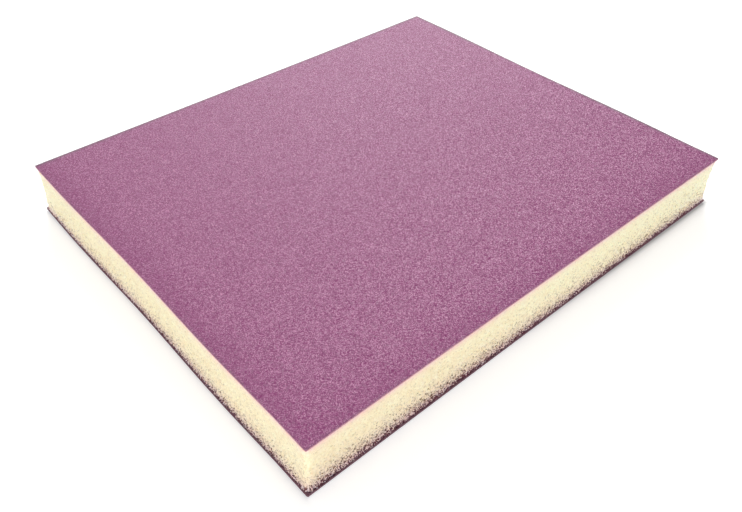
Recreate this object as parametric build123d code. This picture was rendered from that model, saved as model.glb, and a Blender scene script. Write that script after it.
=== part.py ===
from build123d import *

import os
from math import cos, pi

# Double-sided sanding sponge: a slab of fine open-cell foam with a coat of resin-bonded
# abrasive grain on each broad face. The three layers are bonded into one pad with no joints.
#
# Millimetres, +Z up. The origin is the centre of the bottom coat's outer face, on which the
# sponge lies. +X runs along the long side and +Y along the short side.
#
# The pad is cut from a coated sheet with a drag knife. The foam gives way under the knife and
# springs back afterwards, so each cut wall is drawn in between the two stiff coats, and the
# foam's upright corners are rounder than the coats' own. The plan outline is not quite
# straight: the long sides bow inward a little and the short sides wander in and out.

# Driving dimensions
LENGTH = 120.0  # nominal, along X
WIDTH = 98.0  # nominal, along Y
FOAM_THICKNESS = 12.1
COAT_THICKNESS = 0.3
COAT_CORNER_RADIUS = 0.2  # of the stiff coats, seen from above
FOAM_CORNER_RADIUS = 1.0  # of the soft foam between them

# The cut walls of the foam
EDGE_SET_BACK = 0.1  # of the foam behind the coats' edges, just under each coat
WAIST_SET_BACK = 0.3  # the same at mid height, where the wall is drawn in furthest

# The knife's path
LONG_SIDE_BOW = 0.15  # inward, at the middle of a long side
SHORT_SIDE_WANDER = 0.15  # to each side of the nominal line, along a short side
WANDER_PITCH = 56.0  # from one outward crest to the next
WANDER_CREST = 33.0  # the Y of one outward crest
PATH_STEPS = 12  # spline spans along each side

# Heights, from the surface that the sponge lies on
FOAM_BOTTOM = COAT_THICKNESS
FOAM_MIDDLE = FOAM_BOTTOM + FOAM_THICKNESS / 2
FOAM_TOP = FOAM_BOTTOM + FOAM_THICKNESS


def long_side_offset(x):
    """How far a long side lies outside its nominal line at x: inward, so never positive."""
    return -LONG_SIDE_BOW * cos(pi * x / LENGTH)


def short_side_offset(y):
    """How far a short side lies outside its nominal line at y."""
    return SHORT_SIDE_WANDER * cos(2 * pi * (y - WANDER_CREST) / WANDER_PITCH)


def side_path(start, end):
    """The knife's path along one side, from the end of one corner arc to the start of the next."""
    along = (end - start).normalized()
    outward = Vector(along.Y, -along.X)
    path = [start]
    for step in range(1, PATH_STEPS):
        nominal = start + (end - start) * (step / PATH_STEPS)
        if abs(along.X) > abs(along.Y):
            offset = long_side_offset(nominal.X)
        else:
            offset = short_side_offset(nominal.Y)
        path.append(nominal + outward * offset)
    path.append(end)
    return Spline(*path, tangents=(along, along))


def cut_outline(set_back, corner_radius):
    """The face that the knife's path encloses, drawn in by set_back on every side."""
    half_x = LENGTH / 2 - set_back
    half_y = WIDTH / 2 - set_back
    corners = [
        Vector(-half_x, -half_y),
        Vector(half_x, -half_y),
        Vector(half_x, half_y),
        Vector(-half_x, half_y),
    ]
    directions = [Vector(1, 0), Vector(0, 1), Vector(-1, 0), Vector(0, -1)]
    edges = []
    for index, direction in enumerate(directions):
        corner = corners[index]
        next_corner = corners[(index + 1) % 4]
        next_direction = directions[(index + 1) % 4]
        side_start = corner + direction * corner_radius
        side_end = next_corner - direction * corner_radius
        next_start = next_corner + next_direction * corner_radius
        edges.append(side_path(side_start, side_end))
        edges.append(TangentArc(side_end, next_start, tangent=direction))
    return make_face(edges)


def foam_core():
    """The foam slab, lofted through its bottom, waist and top outlines, so that its walls are hollow."""
    sections = [
        Pos(Z=FOAM_BOTTOM) * cut_outline(EDGE_SET_BACK, FOAM_CORNER_RADIUS),
        Pos(Z=FOAM_MIDDLE) * cut_outline(WAIST_SET_BACK, FOAM_CORNER_RADIUS),
        Pos(Z=FOAM_TOP) * cut_outline(EDGE_SET_BACK, FOAM_CORNER_RADIUS),
    ]
    return loft(sections)


def abrasive_coat(bottom):
    """One coat of grain and resin, with its underside at the height bottom."""
    return extrude(Pos(Z=bottom) * cut_outline(0, COAT_CORNER_RADIUS), COAT_THICKNESS)


PARTS = {
    "bottom_abrasive_coat": abrasive_coat(0),
    "foam_core": foam_core(),
    "top_abrasive_coat": abrasive_coat(FOAM_TOP),
}

os.makedirs("parts", exist_ok=True)
for name, solid in PARTS.items():
    solid.label = name
    export_step(solid, f"parts/{name}.step")
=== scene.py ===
import math

import bpy
import numpy as np
from mathutils import Euler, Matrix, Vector
from mathutils.bvhtree import BVHTree


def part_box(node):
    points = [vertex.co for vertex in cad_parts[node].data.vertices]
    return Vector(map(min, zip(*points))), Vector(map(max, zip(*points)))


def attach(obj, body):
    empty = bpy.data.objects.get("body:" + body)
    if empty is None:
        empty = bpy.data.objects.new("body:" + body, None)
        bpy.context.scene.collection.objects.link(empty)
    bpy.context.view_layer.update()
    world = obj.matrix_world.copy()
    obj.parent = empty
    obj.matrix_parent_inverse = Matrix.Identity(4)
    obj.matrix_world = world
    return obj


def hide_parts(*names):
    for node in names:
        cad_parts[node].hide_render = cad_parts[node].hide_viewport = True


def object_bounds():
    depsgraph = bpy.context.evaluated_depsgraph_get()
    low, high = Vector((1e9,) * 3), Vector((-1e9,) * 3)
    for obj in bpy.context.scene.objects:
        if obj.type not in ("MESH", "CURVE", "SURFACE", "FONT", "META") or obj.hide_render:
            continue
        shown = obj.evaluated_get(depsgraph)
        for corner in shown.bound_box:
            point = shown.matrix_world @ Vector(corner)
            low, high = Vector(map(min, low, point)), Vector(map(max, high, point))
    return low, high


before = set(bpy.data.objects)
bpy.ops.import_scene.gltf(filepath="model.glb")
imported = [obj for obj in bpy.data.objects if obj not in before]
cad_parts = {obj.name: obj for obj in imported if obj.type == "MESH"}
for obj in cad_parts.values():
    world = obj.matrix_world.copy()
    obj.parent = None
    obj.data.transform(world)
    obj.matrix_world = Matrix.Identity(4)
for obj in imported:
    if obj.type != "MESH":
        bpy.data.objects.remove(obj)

# A double-sided sanding sponge, lying on a white floor: cream open-cell foam between two coats of
# purple abrasive grain. Each of the three pieces is remade over its CAD solid as a mesh with real
# relief: open pores in the cut foam, and a bed of sharp grains on both broad faces.
#
# In the names below, a fall is the distance over which something drops to 1/e of itself, and near
# means at the corner of lowest x and y, or along the two edges that meet there. Colours are linear.

CAD_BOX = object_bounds()
MM = 0.001
FOAM = "foam_core"
TOP_COAT = "top_abrasive_coat"
BOTTOM_COAT = "bottom_abrasive_coat"

# Seeds, one for each piece
TOP_GRAIN_SEED = 11
BOTTOM_GRAIN_SEED = 12
PORE_SEED = 13

# The rays that find a solid's walls start outside it and run in towards four pivots near its
# corners, and towards the lines between them
PIVOT_INSET = 1.5 * MM
RAY_START = 5 * MM  # how far outward of the pivots
FACE_MARGIN = 0.01 * MM  # how far from the flat faces the lowest and the highest rays pass

# Where the bottom coat curls up off the floor, as which way that edge or corner lies in x and y,
# how far up it goes, and its fall inward
CURLS = [
    ((0, -1), 0.2 * MM, 8 * MM),
    ((1, -1), 0.25 * MM, 24 * MM),
    ((-1, 1), 0.45 * MM, 12 * MM),
]

# Pores in the foam's walls
WALL_SPACING = 0.25 * MM
PORE_SIZE = 0.5 * MM
PORE_RADIUS = (0.35, 0.75)  # from and to, in pore sizes
PORE_STRENGTH = (0.2, 1.0)  # from and to, as a share of the depths below
PORE_DEPTH_HIGH = 0.2 * MM  # at the top of the wall
PORE_DEPTH_LOW = 0.45 * MM  # at its foot
PORE_DEPTH_POWER = 0.8  # of the height, on the way from the one depth to the other

# The foam's colours
# The first pair is the foam's cream in painted brighter light, and the DIM pair is the same cream
# in painted dimmer light
CREAM = (1.0, 0.94, 0.66, 1)
BISCUIT = (0.95, 0.79, 0.51, 1)
DIM_CREAM = (0.97, 0.85, 0.58, 1)
DIM_BISCUIT = (0.85, 0.70, 0.44, 1)
# Painted glow at the upright corners
GLOW_CREAM = (1.0, 0.99, 0.75, 1)
# Painted shade in the pores
STRAW = (0.42, 0.33, 0.21, 1)
# A stain at the foot, and painted shade there too
MAUVE = (0.66, 0.48, 0.47, 1)
BLUSH = (0.92, 0.46, 0.57, 1)
# The dark cells' colours: resin near the foot, and painted shade in open pores
WINE = (0.10, 0.03, 0.045, 1)
BARK = (0.17, 0.11, 0.065, 1)

# Where they go: in small cells, which vary together in larger patches
CELL_SIZE = 0.2 * MM
HALF_DARK_SIZE = 0.3 * MM
PATCH_SIZE = 1.6 * MM
# What changes along the walls, by the name of its number in the mesh: on the two long walls at
# their ends of lowest and highest x, and then on the two short ones at lowest and highest y
ALONG_WALLS = {
    "soak_and_shade_fall": ((2.5 * MM, 1.15 * MM), (1.7 * MM, 1.0 * MM)),  # of dark cells, upwards: resin soaked into the foot, and painted shade in open pores
    "soaked_and_shaded": ((0.82, 0.95), (0.78, 0.52)),  # how many cells are dark at the foot
    "shade_fall": ((2.9 * MM, 3.6 * MM), (2.8 * MM, 2.2 * MM)),  # of half-dark cells, painted shade in the pores, upwards
    "painted_lit_cream": ((0.2, 1.3), (0.25, 0.45)),  # painted light: the share of the lighter pair of creams, more towards the walls' far ends
}
SOAK_AND_SHADE_WANDER = 0.35 * MM  # up and down, of how high the dark cells reach
LIT_SHARE_WANDER = 0.3  # up and down, of the share of the lighter creams, the painted light
DARK_RANGE = (0.88, 1.0)  # the rank from which a cell darkens, and at which it is wholly dark
HALF_DARK_RANGE = (0.86, 1.3)
SHADED = 0.8  # how much higher half-dark cells rank at the foot
PIT_WEIGHT = 0.2  # of a place's depth in a pore in its rank, darkening deep pores as painted shade; the rest of the rank is chance
STAIN_AND_SHADE = 1.4  # how mauve the foot is, partly a stain and partly painted shade, where 1 is wholly so
BLUSH_FALL = 0.85 * MM  # of the pink tinge under the top coat
PAINTED_GLOW_NEAR = 0.1  # how pale the near upright corner is: a painted glow
PAINTED_GLOW_FAR = 0.5  # and the other three
PAINTED_GLOW_FALL = 2.6 * MM
PAINTED_GLOW_CLEARING = 0.9  # how much lower cells rank where the painted glow is full
WINE_TOP = 0.8 * MM  # up to here dark cells are wine-coloured
BARK_FOOT = 2.5 * MM  # and from here up they are brown
FOAM_ROUGHNESS = 0.9
FOAM_SPECULAR = 0.15
GLOW_DEPTH = 1.0 * MM  # how far light wanders inside the foam
GLOW_TINT = (1.0, 0.9, 0.7)

# Grains in the coats' mesh
GRAIN_SPACING = 0.36 * MM
GRAIN_HEIGHT = 0.03 * MM
GRAIN_JITTER = 0.32  # of the spacing
GRAIN_DEPTH_POWER = 1.5  # above 1, more of them come near to the full height

# The coats' colours, in grains finer than the mesh's
GRAIN_SIZE = 0.15 * MM
DEEP_PURPLE = (0.18, 0.003, 0.10, 1)
PALE_PURPLE = (0.62, 0.29, 0.46, 1)
RIM_GREY = (0.12, 0.08, 0.10, 1)
PALE_RANGE = (0.5, 1.0)  # the chance from which a grain is paler, and at which it is palest
EDGE_SHADE_FALL = 4.0 * MM  # of the deeper purple along the near edges, painted shade where they catch less sheen
EDGE_SHADE_COVER = 0.12  # how much lower that chance is there
RIM_NEAR = 0.5  # how grey the near rims are
RIM_NEAR_FALL = 0.3 * MM
RIM_FAR = 1.0  # and the far ones
RIM_FAR_FALL = 0.7 * MM
RIM_COVER = 0.85  # of the grey, where a rim is as grey as it gets
GRAIN_ROUGHNESS = (0.35, 0.7)
FACET_SLOPE = 0.7
# The darker and the lighter colour of each coat's cut edge; the bottom coat's is darker partly from
# resin and partly as painted shade along the floor
PINK_EDGE = ((0.38, 0.13, 0.20, 1), (0.66, 0.34, 0.38, 1))
SHADED_DARK_EDGE = ((0.08, 0.035, 0.05, 1), (0.26, 0.13, 0.16, 1))
EDGE_ROUGHNESS = 0.8
EDGE_SPECULAR = 0.3

# Soft noise, and what it is taken to range over. Beyond that it is held.
NOISE_DETAIL = 3.0  # how many finer layers it has
WIDE_NOISE = (0.3, 0.7)
NARROW_NOISE = (0.35, 0.65)

# The floor, and its shadow close round the foot, where its white glow is held back
FLOOR_REACH = 6.0
FLOOR_DROP = 0.02 * MM  # how far it lies below the sponge
FLOOR_GREY = (0.85, 0.85, 0.85, 1)
SHADOW_GREY = (0.62, 0.62, 0.62, 1)
FLOOR_GLOW = 0.3
GLOW_COLOUR = (0.95, 0.99, 1.0, 1)
SHADOW_FALL = 0.7 * MM
SHADOW_RIGHT = 1.35  # how much is held back at the end of highest x, where 1 is all of it
SHADOW_SPAN = (-0.25, 0.75)  # where that starts and is reached, in half lengths from the middle
SHADOW_LEFT = 0.3  # how much is held back beyond the end of lowest x
SHADOW_LEFT_WIDTH = 0.5 * MM
WHITE_REACH = (0.15, 0.4)  # how far from the middle the floor starts to be plain white, and is

# Camera
CAMERA_PLACE = Vector((-103.68, -108.91, 118.41)) * MM
CAMERA_AZIMUTH = 40.60  # degrees from +Y towards +X, of the way it looks
CAMERA_ELEVATION = 37.75  # degrees that it looks down
CAMERA_ROLL = 0.17
LENS = 39.36
SENSOR_WIDTH = 36
SHIFT = (0.0356, -0.0770)
CLIP = (0.01, 20)


def curl(x, y):
    """How far the bottom coat is curled up off the floor at these places."""
    low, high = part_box(BOTTOM_COAT)
    half = (high - low) / 2
    lift = 0
    for (side_x, side_y), rise, fall in CURLS:
        gap_x = abs(side_x) * (half.x - side_x * x)
        gap_y = abs(side_y) * (half.y - side_y * y)
        lift = lift + rise * np.exp(-np.hypot(gap_x, gap_y) / fall)
    return lift


def ray_plan(node, spacing):
    """For each ray at a node's walls, the place in x and y that it runs to, and the way outward.

    They go round from the near corner, anticlockwise seen from above."""
    low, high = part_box(node)
    centre = (low + high) / 2
    half = (high - low) / 2
    corner_steps = math.ceil(2 * PIVOT_INSET / spacing)
    targets = []
    directions = []
    corners = [(-1, -1), (1, -1), (1, 1), (-1, 1)]
    pivots = [
        np.array([centre.x + x * (half.x - PIVOT_INSET), centre.y + y * (half.y - PIVOT_INSET)])
        for x, y in corners
    ]
    for index, pivot in enumerate(pivots):
        for step in range(corner_steps + 1):
            angle = math.pi + (index + step / corner_steps) * math.pi / 2
            directions.append((math.cos(angle), math.sin(angle)))
            targets.append(pivot)
        span = pivots[(index + 1) % 4] - pivot
        steps = round(np.linalg.norm(span) / spacing)
        for step in range(1, steps):
            targets.append(pivot + span * step / steps)
            directions.append(directions[-1])
    return targets, directions


def wall_ring(node, heights, spacing):
    """The node's wall as rows of points, one row for each height, and the outward directions."""
    targets, directions = ray_plan(node, spacing)
    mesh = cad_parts[node].data
    tree = BVHTree.FromPolygons(
        [vertex.co for vertex in mesh.vertices], [face.vertices for face in mesh.polygons]
    )
    rows = []
    for height in heights:
        row = []
        for target, direction in zip(targets, directions):
            outward = Vector((*direction, 0))
            origin = Vector((*target, height)) + outward * RAY_START
            row.append(tree.ray_cast(origin, -outward)[0])
        rows.append(row)
    return np.array(rows), np.array(directions)


def cell_pits(across, up, columns):
    """Round pits, one in each cell of a jittered grid: how deep each place lies, from 0 to 1.

    across and up are distances along the wall and up it. The grid closes on itself after that
    many columns."""
    rng = np.random.default_rng(PORE_SEED)
    # The rows to spare hold pits that reach in from beyond the foot and the top
    rows = int(up.max() / PORE_SIZE) + 4
    shift_u = rng.random((columns, rows))
    shift_v = rng.random((columns, rows))
    radius = rng.uniform(*PORE_RADIUS, (columns, rows))
    strength = rng.uniform(*PORE_STRENGTH, (columns, rows))
    u = across / PORE_SIZE
    v = up / PORE_SIZE + 1
    depth = np.zeros(u.shape)
    for du in (-1, 0, 1):
        for dv in (-1, 0, 1):
            column = np.floor(u).astype(int) + du
            row = np.clip(np.floor(v).astype(int) + dv, 0, rows - 1)
            wrapped = column % columns
            gap = np.hypot(
                column + shift_u[wrapped, row] - u, row + shift_v[wrapped, row] - v
            )
            pit = np.clip(1 - gap / radius[wrapped, row], 0, 1)
            depth = np.maximum(depth, strength[wrapped, row] * np.sqrt(pit))
    return depth


def wall_pits(wall, up):
    """The pores of a closed wall: how deep each of its points lies, from 0 to 1."""
    steps = np.linalg.norm(np.diff(wall[0], axis=0, append=wall[0][:1]), axis=1)
    along = np.concatenate([[0], np.cumsum(steps)[:-1]])
    columns = round(steps.sum() / PORE_SIZE)
    across = np.broadcast_to(along * columns * PORE_SIZE / steps.sum(), wall.shape[:2])
    return cell_pits(across, up, columns)


def wall_faces(rows, ring):
    """Quads between the rows of a closed wall, and then a lid below and one above."""
    index = np.arange((rows + 1) * ring).reshape(rows + 1, ring)
    after = np.roll(index, -1, axis=1)
    quads = np.stack([index[:-1], after[:-1], after[1:], index[1:]], axis=2)
    return quads.reshape(-1, 4).tolist() + [index[0][::-1].tolist(), index[-1].tolist()]


def make_object(name, places, faces, materials, smooth, slots=None):
    """A mesh object. slots says which of the materials each face has."""
    mesh = bpy.data.meshes.new(name)
    mesh.from_pydata(places, [], faces)
    for material in materials:
        mesh.materials.append(material)
    mesh.polygons.foreach_set("use_smooth", [smooth] * len(mesh.polygons))
    if slots is not None:
        mesh.polygons.foreach_set("material_index", slots)
    made = bpy.data.objects.new(name, mesh)
    bpy.context.scene.collection.objects.link(made)
    return made


def set_numbers(made, name, values):
    """Gives each point of a mesh a number that its material can read."""
    attribute = made.data.attributes.new(name, "FLOAT", "POINT")
    attribute.data.foreach_set("value", np.asarray(values, np.float32))


def foam_piece(material):
    """The foam: a wall of pores on all four sides, closed by a lid against each coat."""
    low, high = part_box(FOAM)
    rows = round((high.z - low.z) / WALL_SPACING)
    levels = np.linspace(low.z, high.z, rows + 1)
    heights = np.clip(levels, low.z + FACE_MARGIN, high.z - FACE_MARGIN)
    wall, directions = wall_ring(FOAM, heights, WALL_SPACING)
    wall[:, :, 2] = levels[:, None]
    up = np.broadcast_to((levels - low.z)[:, None], wall.shape[:2])
    pits = wall_pits(wall, up)
    share = (up / up.max()) ** PORE_DEPTH_POWER
    depth = PORE_DEPTH_LOW + (PORE_DEPTH_HIGH - PORE_DEPTH_LOW) * share
    outward = np.concatenate([directions, np.zeros((len(directions), 1))], axis=1)
    wall -= outward[None] * (pits * depth)[:, :, None]
    # The foot follows the curl of the coat under it, and the top stays where it is
    wall[:, :, 2] += curl(wall[:, :, 0], wall[:, :, 1]) * (1 - up / up.max())
    places = wall.reshape(-1, 3)
    faces = wall_faces(rows, wall.shape[1])
    made = make_object("foam_open_cell", places, faces, [material], True)
    set_numbers(made, "pit", pits.ravel())
    set_numbers(made, "up", up.ravel())
    long_wall = directions[:, 1] ** 2
    share_x = (wall[0][:, 0] - low.x) / (high.x - low.x)
    share_y = (wall[0][:, 1] - low.y) / (high.y - low.y)
    for name, (long_ends, short_ends) in ALONG_WALLS.items():
        on_long = long_ends[0] + (long_ends[1] - long_ends[0]) * share_x
        on_short = short_ends[0] + (short_ends[1] - short_ends[0]) * share_y
        set_numbers(made, name, np.tile(on_short + (on_long - on_short) * long_wall, rows + 1))
    # A painted glow, paler towards the four upright corners and least at the near one
    half = (high - low) / 2
    gaps = np.hypot(half.x - abs(places[:, 0]), half.y - abs(places[:, 1]))
    is_near = (places[:, 0] < 0) & (places[:, 1] < 0)
    share = np.where(is_near, PAINTED_GLOW_NEAR, PAINTED_GLOW_FAR)
    set_numbers(made, "painted_glow", share * np.exp(-gaps / PAINTED_GLOW_FALL))
    return made


def resampled(loop, first, last, steps):
    """That stretch of a closed loop as steps + 1 points, evenly spaced."""
    stretch = np.roll(loop, -first, axis=0)[: (last - first) % len(loop) + 1]
    lengths = np.linalg.norm(np.diff(stretch, axis=0), axis=1)
    reached = np.concatenate([[0], np.cumsum(lengths)])
    wanted = np.linspace(0, reached[-1], steps + 1)
    return np.stack([np.interp(wanted, reached, stretch[:, axis]) for axis in (0, 1)], axis=1)


def coat_grid(node, height, columns, rows):
    """A grid of places in x and y, as a patch that fills the node's outline at that height."""
    ring, directions = wall_ring(node, [height], GRAIN_SPACING)
    loop = ring[0][:, :2]
    angle = np.arctan2(directions[:, 1], directions[:, 0])
    corner_at = [int(np.argmin(abs(angle - turn * math.pi / 4))) for turn in (-3, -1, 1, 3)]
    front = resampled(loop, corner_at[0], corner_at[1], columns)
    right = resampled(loop, corner_at[1], corner_at[2], rows)
    back = resampled(loop, corner_at[2], corner_at[3], columns)[::-1]
    left = resampled(loop, corner_at[3], corner_at[0], rows)[::-1]
    u = np.linspace(0, 1, columns + 1)[:, None, None]
    v = np.linspace(0, 1, rows + 1)[None, :, None]
    return (
        (1 - v) * front[:, None] + v * back[:, None] + (1 - u) * left[None] + u * right[None]
        - (1 - u) * (1 - v) * front[0] - u * (1 - v) * front[-1]
        - (1 - u) * v * back[0] - u * v * back[-1]
    )


def coat_faces(index, split):
    """A coat's triangles, the bed's first, and which points of the bed go round its rim.

    index numbers the bed's points, and split says which way each of its squares is cut in two.
    The back's points come after them: one for each point of the rim, and one in the middle."""
    a = index[:-1, :-1].ravel()
    b = index[1:, :-1].ravel()
    c = index[1:, 1:].ravel()
    d = index[:-1, 1:].ravel()
    rim = np.concatenate([index[:, 0], index[-1, 1:], index[-2::-1, -1], index[0, -2:0:-1]])
    next_rim = np.roll(rim, -1)
    back = index.size + np.arange(len(rim))
    next_back = np.roll(back, -1)
    middle = np.full(len(rim), index.size + len(rim))
    triangles = [
        (a, b, np.where(split, c, d)),
        (np.where(split, a, b), c, d),
        (rim, back, next_back),
        (rim, next_back, next_rim),
        (next_back, back, middle),
    ]
    return np.concatenate([np.stack(corners, axis=1) for corners in triangles]), rim


def coat_piece(name, node, up, seed, materials):
    """One coat of grain: a jittered bed of facets on its outer face, cut sides and a plain back.

    up is 1 where the grain faces up and -1 where it faces down. The second material is for the
    sides and the back."""
    rng = np.random.default_rng(seed)
    low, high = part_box(node)
    outer = high.z if up > 0 else low.z
    inner = low.z if up > 0 else high.z
    size = high - low
    columns = round(size.x / GRAIN_SPACING)
    rows = round(size.y / GRAIN_SPACING)
    grid = coat_grid(node, (low.z + high.z) / 2, columns, rows)
    jitter = rng.uniform(-GRAIN_JITTER, GRAIN_JITTER, grid.shape) * GRAIN_SPACING
    jitter[0], jitter[-1] = 0, 0
    jitter[:, 0], jitter[:, -1] = 0, 0
    grid += jitter
    depth = rng.random(grid.shape[:2]) ** GRAIN_DEPTH_POWER * GRAIN_HEIGHT
    lift = curl(grid[:, :, 0], grid[:, :, 1]) * (up < 0)
    bed = np.concatenate([grid, (outer - up * depth + lift)[:, :, None]], axis=2).reshape(-1, 3)
    index = np.arange(len(bed)).reshape(grid.shape[:2])
    split = rng.random(columns * rows) < 0.5
    faces, rim = coat_faces(index, split)
    if up < 0:
        faces = faces[:, ::-1]
    back = bed[rim]
    back[:, 2] = inner + lift.ravel()[rim]
    centre = np.array([[(low.x + high.x) / 2, (low.y + high.y) / 2, inner]])
    places = np.concatenate([bed, back, centre])
    slots = np.zeros(len(faces), np.int32)
    slots[2 * len(split):] = 1
    made = make_object(name, places, faces.tolist(), materials, False, slots)
    near_gaps = places[:, :2] - (low.x, low.y)
    far_gaps = (high.x, high.y) - places[:, :2]
    # Painted shade: a deeper purple along the near edges
    shares = np.exp(-(near_gaps / EDGE_SHADE_FALL) ** 2)
    set_numbers(made, "painted_edge_shade", 1 - (1 - shares[:, 0]) * (1 - shares[:, 1]))
    near_rim = RIM_NEAR * np.exp(-(near_gaps.min(axis=1) / RIM_NEAR_FALL) ** 2)
    far_rim = RIM_FAR * np.exp(-(far_gaps.min(axis=1) / RIM_FAR_FALL) ** 2)
    set_numbers(made, "rim", np.maximum(near_rim, far_rim))
    return made


def feed(tree, node, inputs):
    """Fills a node's inputs: one whose value is a socket is linked to it, and any other is set."""
    for name, value in inputs.items():
        if isinstance(value, bpy.types.NodeSocket):
            tree.links.new(value, node.inputs[name])
        else:
            node.inputs[name].default_value = value


def put(tree, kind, inputs=None, **settings):
    """A new shader node with its settings and inputs."""
    node = tree.nodes.new("ShaderNode" + kind)
    for name, value in settings.items():
        setattr(node, name, value)
    feed(tree, node, inputs or {})
    return node


def mixed(tree, share, first, second):
    """The first colour where share is 0, and the second where it is 1."""
    return put(tree, "Mix", {0: share, 6: first, 7: second}, data_type="RGBA").outputs[2]


def ranged(tree, value, low, high, to_low=0.0, to_high=1.0):
    """value mapped from one range to another, and held at its ends."""
    inputs = {
        "Value": value, "From Min": low, "From Max": high, "To Min": to_low, "To Max": to_high
    }
    return put(tree, "MapRange", inputs).outputs[0]


def maths(tree, operation, first, second):
    return put(tree, "Math", {0: first, 1: second}, operation=operation).outputs[0]


def vectors(tree, operation, first, second=(0, 0, 0)):
    """Like maths, with vectors. A length or a dot product comes out as a number."""
    node = put(tree, "VectorMath", {0: first, 1: second}, operation=operation)
    return node.outputs["Value" if operation in ("LENGTH", "DOT_PRODUCT") else "Vector"]


def falling(tree, distance, length):
    """1 where distance is 0, and 1/e of that for each length away."""
    lengths = maths(tree, "DIVIDE", distance, length)
    return maths(tree, "POWER", 1 / math.e, lengths)


def number(tree, name):
    """The mesh's own number of that name."""
    return put(tree, "Attribute", attribute_name=name).outputs["Fac"]


def noise(tree, place, size):
    """Soft patches of about that size."""
    inputs = {"Vector": place, "Scale": 1 / size, "Detail": NOISE_DETAIL}
    return put(tree, "TexNoise", inputs).outputs["Fac"]


def cells(tree, place, size):
    """Angular cells of about that size, each with three random numbers of its own."""
    pattern = put(tree, "TexVoronoi", {"Vector": place, "Scale": 1 / size})
    return pattern, put(tree, "SeparateColor", {0: pattern.outputs["Color"]}).outputs


def bare_tree(owner):
    """The node tree of a new material or world, emptied."""
    owner.use_nodes = True
    owner.node_tree.nodes.clear()
    return owner.node_tree


def new_material(name):
    """A material, its tree and its shader, and the place on the object."""
    material = bpy.data.materials.new(name)
    tree = bare_tree(material)
    shader = put(tree, "BsdfPrincipled")
    put(tree, "OutputMaterial", {0: shader.outputs[0]})
    return material, tree, shader, put(tree, "TexCoord").outputs["Object"]


def foam_material():
    """Cream foam, blushed under the top coat, with cells that darken towards the foot, partly
    soaked with resin and partly painted shade.
    """
    material, tree, shader, place = new_material("cut_foam")
    low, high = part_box(FOAM)
    above_foot = number(tree, "up")
    under_coat = maths(tree, "SUBTRACT", high.z - low.z, above_foot)
    painted_glow = number(tree, "painted_glow")
    soak_and_shade_fall = number(tree, "soak_and_shade_fall")
    patches = noise(tree, place, PATCH_SIZE)
    own = cells(tree, place, CELL_SIZE)[1]
    # Dark cells, partly resin soaked into the foot and partly painted shade in open pores, are
    # fewer with height, and more or fewer from patch to patch
    wander = ranged(tree, patches, *WIDE_NOISE, SOAK_AND_SHADE_WANDER, -SOAK_AND_SHADE_WANDER)
    soaked_and_shaded = falling(tree, maths(tree, "ADD", above_foot, wander), soak_and_shade_fall)
    soaked_and_shaded = maths(tree, "MULTIPLY", soaked_and_shaded, number(tree, "soaked_and_shaded"))
    chance = maths(tree, "MULTIPLY", own[0], 1 - PIT_WEIGHT)
    # Deeper in a pore is darker: painted shade
    depth = maths(tree, "MULTIPLY", number(tree, "pit"), PIT_WEIGHT)
    # Fewer dark cells show in the painted glow
    glow_cleared = maths(tree, "MULTIPLY", painted_glow, PAINTED_GLOW_CLEARING)
    rank = maths(tree, "SUBTRACT", maths(tree, "ADD", chance, depth), glow_cleared)
    is_dark = ranged(tree, maths(tree, "ADD", rank, soaked_and_shaded), *DARK_RANGE)
    # The half-dark cells between them, painted shade in the pores, are larger and reach further up
    shaded = falling(tree, above_foot, number(tree, "shade_fall"))
    shaded = maths(tree, "MULTIPLY", shaded, SHADED)
    rank = maths(tree, "ADD", cells(tree, place, HALF_DARK_SIZE)[1][0], shaded)
    is_half_dark = ranged(tree, rank, *HALF_DARK_RANGE)
    # Painted light: the walls turn to the lighter creams towards their far ends
    wander = ranged(tree, patches, *NARROW_NOISE, -LIT_SHARE_WANDER, LIT_SHARE_WANDER)
    painted_lit_share = maths(tree, "ADD", number(tree, "painted_lit_cream"), wander)
    # A mauve foot: partly a stain, partly painted shade
    stained_and_shaded = maths(tree, "MULTIPLY", falling(tree, above_foot, soak_and_shade_fall), STAIN_AND_SHADE)
    painted_lit_cream = mixed(tree, own[2], CREAM, BISCUIT)
    painted_dim_cream = mixed(tree, own[2], DIM_CREAM, DIM_BISCUIT)
    body = mixed(tree, painted_lit_share, painted_dim_cream, painted_lit_cream)
    body = mixed(tree, is_half_dark, body, STRAW)
    # Painted glow at the upright corners
    body = mixed(tree, painted_glow, body, GLOW_CREAM)
    body = mixed(tree, stained_and_shaded, body, MAUVE)
    body = mixed(tree, falling(tree, under_coat, BLUSH_FALL), body, BLUSH)
    hollow = mixed(tree, ranged(tree, above_foot, WINE_TOP, BARK_FOOT), WINE, BARK)
    feed(tree, shader, {
        "Base Color": mixed(tree, is_dark, body, hollow),
        "Roughness": FOAM_ROUGHNESS,
        "Specular IOR Level": FOAM_SPECULAR,
        "Subsurface Weight": 1.0,
        "Subsurface Radius": GLOW_TINT,
        "Subsurface Scale": GLOW_DEPTH,
    })
    return material


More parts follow.
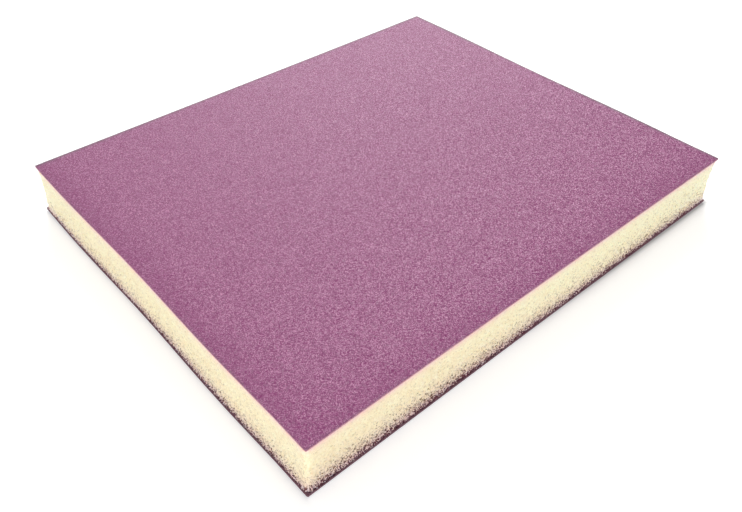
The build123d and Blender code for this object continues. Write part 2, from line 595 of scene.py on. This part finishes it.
def abrasive_material():
    """Purple grains, each a small tilted facet of its own shade, deeper purple along the near edges
    as painted shade, and grey along the rims.
    """
    material, tree, shader, place = new_material("purple_abrasive")
    grains, own = cells(tree, place, GRAIN_SIZE)
    # Deeper purple along the near edges: painted shade
    covered = maths(tree, "MULTIPLY", number(tree, "painted_edge_shade"), EDGE_SHADE_COVER)
    is_pale = ranged(tree, maths(tree, "SUBTRACT", own[0], covered), *PALE_RANGE)
    is_grey = ranged(tree, number(tree, "rim"), 0.0, 1.0, 0.0, RIM_COVER)
    colour = mixed(tree, is_pale, DEEP_PURPLE, PALE_PURPLE)
    # A grain slopes in a direction of its own, from its middle outwards
    inside = vectors(tree, "SUBTRACT", place, grains.outputs["Position"])
    slope = vectors(tree, "SUBTRACT", grains.outputs["Color"], (0.5, 0.5, 0.5))
    height = vectors(tree, "DOT_PRODUCT", inside, slope)
    bump = put(tree, "Bump", {"Height": height, "Distance": FACET_SLOPE})
    feed(tree, shader, {
        "Base Color": mixed(tree, is_grey, colour, RIM_GREY),
        "Roughness": ranged(tree, own[1], 0.0, 1.0, *GRAIN_ROUGHNESS),
        "Normal": bump.outputs[0],
    })
    return material


def coat_edge_material(name, dark, light):
    """The knife-cut edge of a coat: broken grain in resin."""
    material, tree, shader, place = new_material(name)
    fleck = ranged(tree, noise(tree, place, GRAIN_SIZE), *NARROW_NOISE)
    feed(tree, shader, {
        "Base Color": mixed(tree, fleck, dark, light),
        "Roughness": EDGE_ROUGHNESS,
        "Specular IOR Level": EDGE_SPECULAR,
    })
    return material


def background_ray(tree):
    """1 for a ray that shows the background: to the camera, in a gloss or through glass."""
    path = put(tree, "LightPath")
    seen = maths(tree, "MAXIMUM", path.outputs["Is Camera Ray"], path.outputs["Is Glossy Ray"])
    return maths(tree, "MAXIMUM", seen, path.outputs["Is Transmission Ray"])


def floor_material():
    """White where it shows as the background, yet darker where the object shades it.

    Beyond the object's surroundings it is plain white, so that no far edge shows."""
    material = bpy.data.materials.new("white_floor")
    tree = bare_tree(material)
    seen = background_ray(tree)
    place = put(tree, "TexCoord").outputs["Object"]
    # How far out from the foot a place lies
    low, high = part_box(BOTTOM_COAT)
    out = vectors(tree, "SUBTRACT", vectors(tree, "ABSOLUTE", place), (high.x, high.y, 0))
    out = vectors(tree, "LENGTH", vectors(tree, "MAXIMUM", out))
    # The glow is held back close to the foot: most towards the end of highest x, where the long
    # front edge is curled up furthest, and a little beyond the other end
    along = put(tree, "SeparateXYZ", {0: place}).outputs[0]
    span = [share * high.x for share in SHADOW_SPAN]
    right = ranged(tree, along, *span, 0.0, SHADOW_RIGHT)
    left = ranged(tree, along, low.x, low.x + SHADOW_LEFT_WIDTH, SHADOW_LEFT, 0.0)
    held = maths(tree, "ADD", right, left)
    held = maths(tree, "MULTIPLY", held, falling(tree, out, SHADOW_FALL))
    matt = put(tree, "BsdfDiffuse", {"Color": mixed(tree, held, FLOOR_GREY, SHADOW_GREY)})
    strength = maths(tree, "MULTIPLY", seen, ranged(tree, held, 0.0, 1.0, FLOOR_GLOW, 0.0))
    glow = put(tree, "Emission", {"Color": GLOW_COLOUR, "Strength": strength})
    near = put(tree, "AddShader", {0: matt.outputs[0], 1: glow.outputs[0]})
    reach = vectors(tree, "LENGTH", place)
    is_far = maths(tree, "MULTIPLY", ranged(tree, reach, *WHITE_REACH), seen)
    white = put(tree, "Emission", {"Strength": 1.0})
    both = put(tree, "MixShader", {0: is_far, 1: near.outputs[0], 2: white.outputs[0]})
    put(tree, "OutputMaterial", {0: both.outputs[0]})
    return material


def add_floor():
    side = FLOOR_REACH
    corners = [(-side, -side, 0), (side, -side, 0), (side, side, 0), (-side, side, 0)]
    floor = make_object("floor", corners, [(0, 1, 2, 3)], [floor_material()], False)
    floor.location.z = -FLOOR_DROP


def add_world(strength):
    """Even white light of that strength from all around, which shows as plain white."""
    world = bpy.data.worlds.new("studio")
    bpy.context.scene.world = world
    tree = bare_tree(world)
    level = ranged(tree, background_ray(tree), 0.0, 1.0, strength, 1.0)
    sky = put(tree, "Background", {"Color": (1, 1, 1, 1), "Strength": level})
    put(tree, "OutputWorld", {0: sky.outputs[0]})


def add_lamp(name, azimuth, elevation, distance, size, power):
    """A square soft box, aimed at the sponge's middle.

    Azimuth 0 is on the -Y side, and 90 on the +X side."""
    data = bpy.data.lights.new(name, "AREA")
    data.shape = "SQUARE"
    data.size = size
    data.energy = power
    lamp = bpy.data.objects.new(name, data)
    turn = math.radians(azimuth)
    rise = math.radians(elevation)
    away = Vector((
        math.sin(turn) * math.cos(rise), -math.cos(turn) * math.cos(rise), math.sin(rise)
    ))
    lamp.location = (CAD_BOX[0] + CAD_BOX[1]) / 2 + away * distance
    lamp.rotation_euler = away.to_track_quat("Z", "Y").to_euler()
    bpy.context.scene.collection.objects.link(lamp)


def add_camera():
    data = bpy.data.cameras.new("camera")
    data.lens = LENS
    data.sensor_width = SENSOR_WIDTH
    data.shift_x, data.shift_y = SHIFT
    data.clip_start, data.clip_end = CLIP
    camera = bpy.data.objects.new("camera", data)
    camera.location = CAMERA_PLACE
    tilt = math.radians(90 - CAMERA_ELEVATION)
    turn = Euler((tilt, 0, math.radians(-CAMERA_AZIMUTH))).to_quaternion()
    roll = Euler((0, 0, math.radians(CAMERA_ROLL))).to_quaternion()
    camera.rotation_euler = (turn @ roll).to_euler()
    bpy.context.scene.collection.objects.link(camera)
    bpy.context.scene.camera = camera


def finish_piece(piece, node):
    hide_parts(node)
    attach(piece, "root")


bpy.context.scene.view_settings.view_transform = "Standard"
foam = foam_piece(foam_material())
finish_piece(foam, FOAM)
grit = abrasive_material()
pink_edge = coat_edge_material("pink_cut_edge", *PINK_EDGE)
# The bottom coat's edge: dark resin and painted shade along the floor
shaded_dark_edge = coat_edge_material("shaded_dark_cut_edge", *SHADED_DARK_EDGE)
top = coat_piece("top_coat_grain", TOP_COAT, 1, TOP_GRAIN_SEED, [grit, pink_edge])
finish_piece(top, TOP_COAT)
bottom = coat_piece("bottom_coat_grain", BOTTOM_COAT, -1, BOTTOM_GRAIN_SEED, [grit, shaded_dark_edge])
finish_piece(bottom, BOTTOM_COAT)

add_floor()
add_world(strength=0.6)
add_lamp("window", azimuth=141, elevation=33, distance=0.6, size=0.45, power=3.1)
add_lamp("fill", azimuth=-46, elevation=28, distance=0.8, size=0.5, power=3.25)
add_camera()
